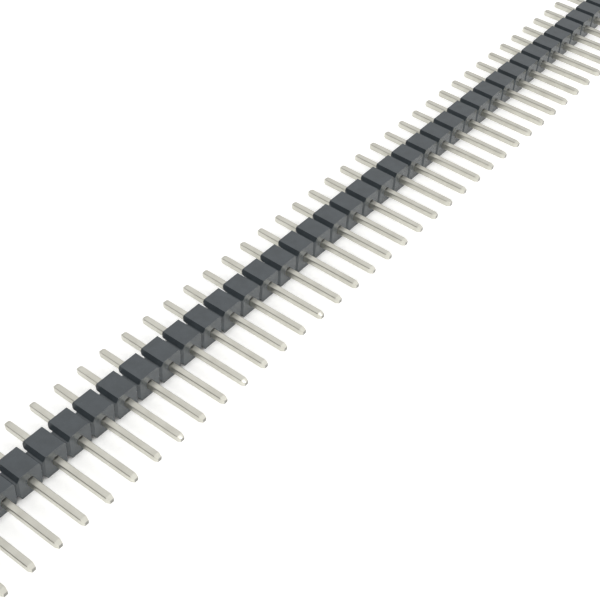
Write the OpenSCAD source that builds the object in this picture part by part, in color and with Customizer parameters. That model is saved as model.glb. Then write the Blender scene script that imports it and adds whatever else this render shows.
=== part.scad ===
// Single-row straight pin header strip, lying on one long side of its insulator.
// X runs along the strip, the long pins point to -Y and the short pins to +Y.
// The origin is under the middle of the whole part, on the surface that it lies on.

/* [Strip] */
// Number of pins, one in each cell
pins = 40; // [2:1:50]
// Distance from one pin to the next
pitch = 2.54; // [2:0.01:5.08]

/* [Insulator] */
// Depth of the insulator, along the pins
body_depth = 2.4; // [1.5:0.05:6]
// Height of the insulator, across the pins
body_height = 2.45; // [2:0.05:5]

/* [Snap notches] */
// Width of each notch at its mouth
notch_width = 0.66; // [0.3:0.02:0.9]
// Width of the flat floor of each notch
notch_floor = 0.18; // [0.05:0.01:0.28]
// Depth of each notch
notch_depth = 0.44; // [0.1:0.02:0.5]

/* [Relief behind each notch] */
// Depth of the relief from the board-side face
relief_depth = 0.65; // [0.2:0.05:1.2]
// Width of the relief at the board-side face
relief_width = 1.1; // [0.5:0.05:1.2]
// Width of the relief at the web that joins two cells
relief_web_width = 0.34; // [0.2:0.02:0.5]
// Slope of the relief's roof and floor, from level
relief_slope = 45; // [30:1:50]
// Width of the throat, between the relief and each notch, at the board-side face
throat_width = 0.46; // [0.3:0.02:0.6]
// Depth over which the throat narrows to the notch's floor
throat_depth = 0.3; // [0.1:0.05:1.2]

/* [Score line] */
// Width of the V-shaped score that runs up the mating face
score_width = 0.4; // [0.05:0.01:0.6]
// Depth of the score
score_depth = 0.17; // [0.05:0.01:0.5]

/* [Pins] */
// Width of the square wire
wire_width = 0.6; // [0.3:0.01:0.8]
// Radius of the wire's long edges
wire_edge_radius = 0.08; // [0.02:0.01:0.12]
// Length of pin beyond the mating face
mating_length = 5.8; // [2:0.05:15]
// Length of pin beyond the board-side face
board_length = 3.05; // [1.5:0.05:10]

/* [Pin tips] */
// Length of the taper at the mating end
mating_taper = 0.4; // [0.1:0.02:1]
// Width of the flat at the mating end
mating_flat = 0.36; // [0.1:0.01:0.55]
// Length of the taper at the board end
board_taper = 0.25; // [0.1:0.02:1]
// Width of the flat at the board end
board_flat = 0.42; // [0.1:0.01:0.55]

/* [Pin seats] */
// Clearance between a pin and its hole, all round
pin_clearance = 0; // [0:0.005:0.03]
// Width of the slots above and below the pin at its root
root_width = 0.42; // [0.2:0.02:0.5]
// Height of each slot
root_gap = 0.12; // [0.05:0.01:0.2]
// Depth of the slots from the mating face
root_depth = 0.15; // [0.1:0.05:0.6]

/* [Hidden] */
$fn = 24;
overcut = 0.1;
strip_length = pins * pitch;
pin_length = mating_length + body_depth + board_length;
mating_face = mating_length - pin_length / 2;
board_face = mating_face + body_depth;
pin_height = body_height / 2;
hole_width = wire_width + 2 * pin_clearance;
root_height = hole_width + 2 * root_gap;
relief_rise = (relief_width - notch_floor) / 2 * tan(relief_slope);

function boundary_x(number) = (number - pins / 2) * pitch;
function cell_x(number) = boundary_x(number - 0.5);
function pin_name(number) = str("pin_", number < 10 ? "0" : "", number);

// The lower half of one notch's outline, in order along X, seen along the pins
function notch_outline(x) = [
    [x - notch_width / 2, 0],
    [x - notch_floor / 2, notch_depth],
    [x + notch_floor / 2, notch_depth],
    [x + notch_width / 2, 0]
];

// Extrudes an outline drawn in X and Z along Y, from one Y to another
module along_pins(from_y, to_y) {
    translate([0, to_y, 0])
        rotate([90, 0, 0])
            linear_extrude(to_y - from_y)
                children();
}

module centred_square(width, height) {
    translate([-width / 2, -height / 2])
        square([width, height]);
}

// The strip's section: a bar with a notch above and below at every boundary
module notched_bar() {
    lower = [for (number = [0:pins], corner = notch_outline(boundary_x(number))) corner];
    upper = [for (index = [len(lower) - 1:-1:0]) [lower[index][0], body_height - lower[index][1]]];
    intersection() {
        polygon(concat(lower, upper));
        translate([-strip_length / 2, 0])
            square([strip_length, body_height]);
    }
}

// The relief seen along the pins: it meets both notches, and widens away from them
module relief_front() {
    half = [
        [notch_floor / 2, 0],
        [notch_floor / 2, notch_depth],
        [relief_width / 2, notch_depth + relief_rise],
        [relief_width / 2, body_height - notch_depth - relief_rise],
        [notch_floor / 2, body_height - notch_depth],
        [notch_floor / 2, body_height]
    ];
    mirrored = [for (index = [len(half) - 1:-1:0]) [-half[index][0], half[index][1]]];
    polygon(concat(half, mirrored));
}

// The relief seen from above, narrow at the web and wide at the board-side face
module relief_plan() {
    flare = (relief_width - relief_web_width) / 2 * overcut / relief_depth;
    polygon([
        [-relief_web_width / 2, board_face - relief_depth],
        [relief_web_width / 2, board_face - relief_depth],
        [relief_width / 2 + flare, board_face + overcut],
        [-relief_width / 2 - flare, board_face + overcut]
    ]);
}

// The throat seen from above: it lets the relief into both notches, and flares at the board-side face
module throat_plan() {
    flare = (throat_width - notch_floor) / 2 * overcut / throat_depth;
    polygon([
        [-notch_floor / 2, board_face - throat_depth],
        [notch_floor / 2, board_face - throat_depth],
        [throat_width / 2 + flare, board_face + overcut],
        [-throat_width / 2 - flare, board_face + overcut]
    ]);
}

module relief() {
    intersection() {
        along_pins(board_face - relief_depth, board_face + overcut)
            relief_front();
        linear_extrude(body_height)
            relief_plan();
    }
    linear_extrude(body_height)
        throat_plan();
}

module score() {
    flare = score_width / 2 * overcut / score_depth;
    linear_extrude(body_height)
        polygon([
            [-score_width / 2 - flare, mating_face - overcut],
            [score_width / 2 + flare, mating_face - overcut],
            [0, mating_face + score_depth]
        ]);
}

module pin_seat() {
    translate([0, 0, pin_height]) {
        along_pins(mating_face - overcut, board_face + overcut)
            centred_square(hole_width, hole_width);
        along_pins(mating_face - overcut, mating_face + root_depth)
            centred_square(root_width, root_height);
    }
}

module insulator() {
    color([0.1, 0.11, 0.12])
        difference() {
            along_pins(mating_face, board_face)
                notched_bar();
            for (number = [0:pins])
                translate([boundary_x(number), 0, 0])
                    relief();
            for (number = [1:pins - 1])
                translate([boundary_x(number), 0, 0])
                    score();
            for (number = [1:pins])
                translate([cell_x(number), 0, 0])
                    pin_seat();
        }
}

// Square wire with rounded long edges
module wire_section() {
    flat = wire_width - 2 * wire_edge_radius;
    translate([-flat / 2, -wire_width / 2])
        square([flat, wire_width]);
    translate([-wire_width / 2, -flat / 2])
        square([wire_width, flat]);
    for (side = [-1, 1], end = [-1, 1])
        translate([side * flat / 2, end * flat / 2])
            circle(wire_edge_radius);
}

// A pin's outline from above or from the side, tapered at both ends
module pin_outline() {
    polygon([
        [-mating_flat / 2, -pin_length / 2],
        [mating_flat / 2, -pin_length / 2],
        [wire_width / 2, mating_taper - pin_length / 2],
        [wire_width / 2, pin_length / 2 - board_taper],
        [board_flat / 2, pin_length / 2],
        [-board_flat / 2, pin_length / 2],
        [-wire_width / 2, pin_length / 2 - board_taper],
        [-wire_width / 2, mating_taper - pin_length / 2]
    ]);
}

module pin(number) {
    color([0.77, 0.75, 0.7])
        translate([cell_x(number), 0, pin_height])
            intersection() {
                along_pins(-pin_length / 2 - overcut, pin_length / 2 + overcut)
                    wire_section();
                linear_extrude(wire_width + 2 * overcut, center = true)
                    pin_outline();
                rotate([0, 90, 0])
                    linear_extrude(wire_width + 2 * overcut, center = true)
                        pin_outline();
            }
}

insulator();
for (number = [1:pins])
    pin(number);
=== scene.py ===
"""Looks of the pin header strip: finishes, softened edges, floor, light and camera."""

import math

import bpy
from mathutils import Matrix, Vector

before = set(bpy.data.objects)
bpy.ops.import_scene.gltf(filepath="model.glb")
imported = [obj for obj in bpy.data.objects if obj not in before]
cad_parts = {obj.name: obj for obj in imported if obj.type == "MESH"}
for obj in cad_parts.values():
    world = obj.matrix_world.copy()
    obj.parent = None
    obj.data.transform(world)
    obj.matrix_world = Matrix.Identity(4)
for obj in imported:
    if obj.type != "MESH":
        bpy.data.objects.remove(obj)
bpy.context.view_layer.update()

MM = 0.001

# Camera
CAMERA_AIM = Vector((-13.62, -2.873, 1.2)) * MM
CAMERA_DISTANCE = 102.96 * MM
CAMERA_TURN = math.radians(-54.76)
CAMERA_ELEVATION = math.radians(43.53)
CAMERA_ROLL = math.radians(4.02)
CAMERA_LENS = 71.33
CAMERA_SENSOR = 36
CAMERA_NEAR = 1 * MM

# Floor
FLOOR_SIZE = 4.0
FLOOR_COLOUR = (0.98, 0.98, 0.97, 1)
FLOOR_GLOW = 0.32
# Painted shade: within this reach, ambient occlusion cuts the floor's glow, which darkens the
# floor at the strip's foot
PAINTED_SHADE_REACH = 0.6 * MM
PAINTED_SHADE_CLOSED = 0.4

# Light
SKY_COLOUR = (1, 1, 1, 1)
SKY_BASE = 0.1
SKY_PATCHES = (
    {"middle": Vector((0.42, -0.1, 0.88)), "strength": 0.88, "falloff": 2.4},
    {"middle": Vector((0.4, 0.85, 0.3)), "strength": 0.6, "falloff": 3.0},
    {"middle": Vector((0.3, -0.95, 0.15)), "strength": 0.65, "falloff": 2.0},
)
LAMP_DISTANCE = 0.8
LAMPS = {
    "fill_lamp": {"towards": Vector((-0.5, -0.42, 0.76)), "size": 0.5, "power": 1.85},
    "front_lamp": {"towards": Vector((0.5, -0.45, 0.75)), "size": 0.32, "power": 0.85},
}

# Softened edges
WELD_DISTANCE = 0.002 * MM
FLAT_ANGLE = math.radians(0.5)
EDGE_ANGLE = math.radians(30)
EDGE_SEGMENTS = 2
EDGE_RADIUS = 0.02 * MM
TIP_RADIUS = 0.03 * MM

# The part of a noise's values that a ramp spreads over its whole range
NOISE_LIMITS = (0.3, 0.7)

# Insulator
PLASTIC_IOR = 1.6
PLASTIC_DARK = (0.047, 0.057, 0.064, 1)
PLASTIC_LIGHT = (0.059, 0.071, 0.08, 1)
PLASTIC_ROUGHNESS = (0.22, 0.27)
CLOUD_GRAIN = (0.9 * MM, 0.9 * MM, 0.9 * MM)
SPARK_GRAIN = (0.05 * MM, 0.05 * MM, 0.05 * MM)
SPARK_DEPTH = 0.003 * MM
SPECK_GRAIN = (0.035 * MM, 0.035 * MM, 0.035 * MM)
SPECK_LIMITS = (0.78, 0.86)
SPECK_SHARE = 0.5
SPECK_COLOUR = (0.2, 0.21, 0.22, 1)

# Pins
TIN_DARK = (0.6, 0.587, 0.522, 1)
TIN_LIGHT = (0.68, 0.669, 0.6, 1)
TIN_ROUGHNESS = (0.34, 0.28)
PATCH_GRAIN = (1.7 * MM, 1.2 * MM, 1.7 * MM)
LINE_GRAIN = (0.05 * MM, 2.5 * MM, 0.05 * MM)
LINE_DEPTH = 0.002 * MM
LINE_LIMITS = (0.45, 0.75)
LINE_SHARE = 0.3
SATIN_GRAIN = (0.03 * MM, 0.06 * MM, 0.03 * MM)
SATIN_DEPTH = 0.0008 * MM
CUT_END = (0.27, 0.265, 0.24, 1)
CUT_END_LIMITS = (0.85, 0.97)

# A Mix node's places for colours, behind those for numbers and vectors
MIX_FIRST = 6
MIX_SECOND = 7
MIX_RESULT = 2


def new_material(name):
    """A material with an empty node tree, and its tree."""
    material = bpy.data.materials.new(name)
    material.use_nodes = True
    material.node_tree.nodes.clear()
    return material, material.node_tree


def add_node(tree, kind, settings=(), inputs=()):
    """A new node with its settings and its unlinked inputs set."""
    node = tree.nodes.new(kind)
    for name, value in dict(settings).items():
        setattr(node, name, value)
    for name, value in dict(inputs).items():
        node.inputs[name].default_value = value
    return node


def feed(tree, socket, value):
    """Gives a socket another node's output, or a fixed value."""
    if isinstance(value, bpy.types.NodeSocket):
        tree.links.new(value, socket)
    else:
        socket.default_value = value


def maths(tree, operation, *values):
    """The result of one operation on numbers, each fixed or another node's output."""
    node = add_node(tree, "ShaderNodeMath", settings={"operation": operation})
    for socket, value in zip(node.inputs, values):
        feed(tree, socket, value)
    return node.outputs[0]


def ramp(tree, value, low, high, start=0.0, end=1.0):
    """Maps a value that runs from low to high onto start to end, held at both ends."""
    values = {"From Min": low, "From Max": high, "To Min": start, "To Max": end}
    node = add_node(tree, "ShaderNodeMapRange", inputs=values)
    tree.links.new(value, node.inputs["Value"])
    return node.outputs["Result"]


def stretched_coordinates(tree, grain):
    """Object coordinates divided by the grain's size along X, Y and Z."""
    place = add_node(tree, "ShaderNodeTexCoord")
    scale = [1 / size for size in grain]
    mapping = add_node(tree, "ShaderNodeMapping", inputs={"Scale": scale})
    tree.links.new(place.outputs["Object"], mapping.inputs["Vector"])
    return mapping.outputs["Vector"]


def noise(tree, grain, detail):
    """Noise from 0 to 1 whose patches have the grain's size along X, Y and Z."""
    values = {"Scale": 1.0, "Detail": detail, "Roughness": 0.5}
    node = add_node(tree, "ShaderNodeTexNoise", inputs=values)
    tree.links.new(stretched_coordinates(tree, grain), node.inputs["Vector"])
    return node.outputs["Fac"]


def mix_colours(tree, share, first, second):
    """Mixes two colours, each a fixed value or another node's output."""
    node = add_node(tree, "ShaderNodeMix", settings={"data_type": "RGBA"})
    tree.links.new(share, node.inputs["Factor"])
    feed(tree, node.inputs[MIX_FIRST], first)
    feed(tree, node.inputs[MIX_SECOND], second)
    return node.outputs[MIX_RESULT]


def bump(tree, height, depth, before=None):
    """A normal raised by the height, which is depth metres from 0 to 1."""
    node = add_node(tree, "ShaderNodeBump", inputs={"Strength": 1.0, "Distance": depth})
    tree.links.new(height, node.inputs["Height"])
    if before is not None:
        tree.links.new(before, node.inputs["Normal"])
    return node.outputs["Normal"]


def finish_material(tree, shader):
    """Links a shader to the material's output."""
    output = add_node(tree, "ShaderNodeOutputMaterial")
    tree.links.new(shader.outputs[0], output.inputs["Surface"])


def plastic_material():
    """Black moulded thermoplastic: satin, a little cloudy, with the mould's fine spark texture."""
    material, tree = new_material("insulator_plastic")
    shader = add_node(tree, "ShaderNodeBsdfPrincipled", inputs={"IOR": PLASTIC_IOR})
    clouds = noise(tree, CLOUD_GRAIN, 3.0)
    spark = noise(tree, SPARK_GRAIN, 2.0)
    specks = noise(tree, SPECK_GRAIN, 0.0)
    body = mix_colours(tree, ramp(tree, clouds, *NOISE_LIMITS), PLASTIC_DARK, PLASTIC_LIGHT)
    speck_share = ramp(tree, specks, *SPECK_LIMITS, 0.0, SPECK_SHARE)
    colour = mix_colours(tree, speck_share, body, SPECK_COLOUR)
    tree.links.new(colour, shader.inputs["Base Color"])
    roughness = ramp(tree, clouds, *NOISE_LIMITS, *PLASTIC_ROUGHNESS)
    tree.links.new(roughness, shader.inputs["Roughness"])
    tree.links.new(bump(tree, spark, SPARK_DEPTH), shader.inputs["Normal"])
    finish_material(tree, shader)
    return material


def cut_end_share(tree):
    """1 on the flat ends of a wire that lies along Y, and 0 on its sides and tapers."""
    place = add_node(tree, "ShaderNodeTexCoord")
    direction = add_node(tree, "ShaderNodeSeparateXYZ")
    tree.links.new(place.outputs["Normal"], direction.inputs["Vector"])
    along = maths(tree, "ABSOLUTE", direction.outputs["Y"])
    return ramp(tree, along, *CUT_END_LIMITS)


def tin_material():
    """Tin plating on drawn wire: warm, satin, with fine lines along it and duller cut ends."""
    material, tree = new_material("tinned_wire")
    shader = add_node(tree, "ShaderNodeBsdfPrincipled", inputs={"Metallic": 1.0})
    lines = noise(tree, LINE_GRAIN, 3.0)
    patches = noise(tree, PATCH_GRAIN, 3.0)
    satin = noise(tree, SATIN_GRAIN, 1.0)
    drawn = mix_colours(tree, ramp(tree, patches, *NOISE_LIMITS), TIN_DARK, TIN_LIGHT)
    line_share = ramp(tree, lines, *LINE_LIMITS, 0.0, LINE_SHARE)
    lined = mix_colours(tree, line_share, drawn, TIN_DARK)
    colour = mix_colours(tree, cut_end_share(tree), lined, CUT_END)
    tree.links.new(colour, shader.inputs["Base Color"])
    roughness = ramp(tree, patches, *NOISE_LIMITS, *TIN_ROUGHNESS)
    tree.links.new(roughness, shader.inputs["Roughness"])
    raised = bump(tree, lines, LINE_DEPTH)
    tree.links.new(bump(tree, satin, SATIN_DEPTH, raised), shader.inputs["Normal"])
    finish_material(tree, shader)
    return material


def dress(node_name, material):
    """Gives a CAD node its finish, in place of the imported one."""
    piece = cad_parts[node_name]
    for material_slot in piece.material_slots:
        material_slot.material = material
    return piece


def soften_edges(piece, radius):
    """Rounds a CAD node's sharp edges, with its flat faces first joined into one each."""
    weld = piece.modifiers.new("weld", "WELD")
    weld.merge_threshold = WELD_DISTANCE
    flat = piece.modifiers.new("flat", "DECIMATE")
    flat.decimate_type = "DISSOLVE"
    flat.angle_limit = FLAT_ANGLE
    edges = piece.modifiers.new("edges", "BEVEL")
    edges.width = radius
    edges.segments = EDGE_SEGMENTS
    edges.limit_method = "ANGLE"
    edges.angle_limit = EDGE_ANGLE
    edges.harden_normals = True


def dress_pieces():
    """Finishes the insulator and every pin."""
    plastic = plastic_material()
    tin = tin_material()
    soften_edges(dress("insulator", plastic), EDGE_RADIUS)
    for node_name in sorted(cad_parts):
        if node_name.startswith("pin_"):
            soften_edges(dress(node_name, tin), TIP_RADIUS)


def floor_material():
    """White card that keeps shadows. Seen directly or in gloss, it has a faint glow added.

    The glow fades out close to what stands on the card, by ambient occlusion: this is painted
    shade at the strip's foot and in its notches, added to the real shadow that the lamps and sky
    cast there.
    """
    material, tree = new_material("floor_card")
    card = add_node(tree, "ShaderNodeBsdfDiffuse", inputs={"Color": FLOOR_COLOUR})
    glow = add_node(tree, "ShaderNodeEmission")
    path = add_node(tree, "ShaderNodeLightPath")
    seen = path.outputs["Is Camera Ray"]
    for kind in ("Is Glossy Ray", "Is Transmission Ray"):
        seen = maths(tree, "MAXIMUM", seen, path.outputs[kind])
    # Painted shade: the glow is cut back where ambient occlusion finds the strip close by
    nearby = add_node(tree, "ShaderNodeAmbientOcclusion", inputs={"Distance": PAINTED_SHADE_REACH})
    openness = ramp(tree, nearby.outputs["AO"], PAINTED_SHADE_CLOSED, 1.0)
    lit = maths(tree, "MULTIPLY", seen, openness)
    tree.links.new(maths(tree, "MULTIPLY", lit, FLOOR_GLOW), glow.inputs["Strength"])
    both = add_node(tree, "ShaderNodeAddShader")
    tree.links.new(card.outputs[0], both.inputs[0])
    tree.links.new(glow.outputs[0], both.inputs[1])
    finish_material(tree, both)
    return material


def add_floor():
    """A wide plain floor at the level that the strip lies on."""
    half = FLOOR_SIZE / 2
    mesh = bpy.data.meshes.new("floor")
    corners = [(-half, -half, 0), (half, -half, 0), (half, half, 0), (-half, half, 0)]
    mesh.from_pydata(corners, [], [(0, 1, 2, 3)])
    mesh.materials.append(floor_material())
    floor = bpy.data.objects.new("floor", mesh)
    bpy.context.scene.collection.objects.link(floor)


def sky_patch(tree, middle, strength, falloff):
    """A soft bright patch of sky, brightest towards its middle."""
    place = add_node(tree, "ShaderNodeTexCoord")
    towards = add_node(tree, "ShaderNodeVectorMath", settings={"operation": "DOT_PRODUCT"})
    tree.links.new(place.outputs["Generated"], towards.inputs[0])
    towards.inputs[1].default_value = middle.normalized()
    closeness = ramp(tree, towards.outputs["Value"], 0.0, 1.0)
    return maths(tree, "MULTIPLY", maths(tree, "POWER", closeness, falloff), strength)


def add_sky():
    """A soft studio: a broad bright patch overhead, and dimmer ones low behind and in front."""
    world = bpy.data.worlds.new("studio")
    world.use_nodes = True
    tree = world.node_tree
    tree.nodes.clear()
    strength = SKY_BASE
    for patch in SKY_PATCHES:
        strength = maths(tree, "ADD", sky_patch(tree, **patch), strength)
    background = add_node(tree, "ShaderNodeBackground", inputs={"Color": SKY_COLOUR})
    tree.links.new(strength, background.inputs["Strength"])
    output = add_node(tree, "ShaderNodeOutputWorld")
    tree.links.new(background.outputs[0], output.inputs["Surface"])
    bpy.context.scene.world = world


def add_lamp(name, towards, size, power):
    """A soft square lamp in the given direction from the part, turned to face it."""
    data = bpy.data.lights.new(name, "AREA")
    data.size = size
    data.energy = power
    lamp = bpy.data.objects.new(name, data)
    away = towards.normalized()
    lamp.location = away * LAMP_DISTANCE
    lamp.rotation_euler = away.to_track_quat("Z", "Y").to_euler()
    bpy.context.scene.collection.objects.link(lamp)


def add_camera():
    """The camera at the photograph's angle."""
    turn = Matrix.Rotation(CAMERA_TURN, 4, "Z")
    rise = Matrix.Rotation(math.pi / 2 - CAMERA_ELEVATION, 4, "X")
    roll = Matrix.Rotation(CAMERA_ROLL, 4, "Z")
    back = Matrix.Translation((0, 0, CAMERA_DISTANCE))
    data = bpy.data.cameras.new("camera")
    data.lens = CAMERA_LENS
    data.sensor_width = CAMERA_SENSOR
    data.clip_start = CAMERA_NEAR
    camera = bpy.data.objects.new("camera", data)
    camera.matrix_world = Matrix.Translation(CAMERA_AIM) @ turn @ rise @ back @ roll
    bpy.context.scene.collection.objects.link(camera)
    bpy.context.scene.camera = camera


dress_pieces()
add_floor()
add_sky()
for lamp_name, lamp_values in LAMPS.items():
    add_lamp(lamp_name, **lamp_values)
add_camera()
bpy.context.scene.view_settings.view_transform = "Standard"
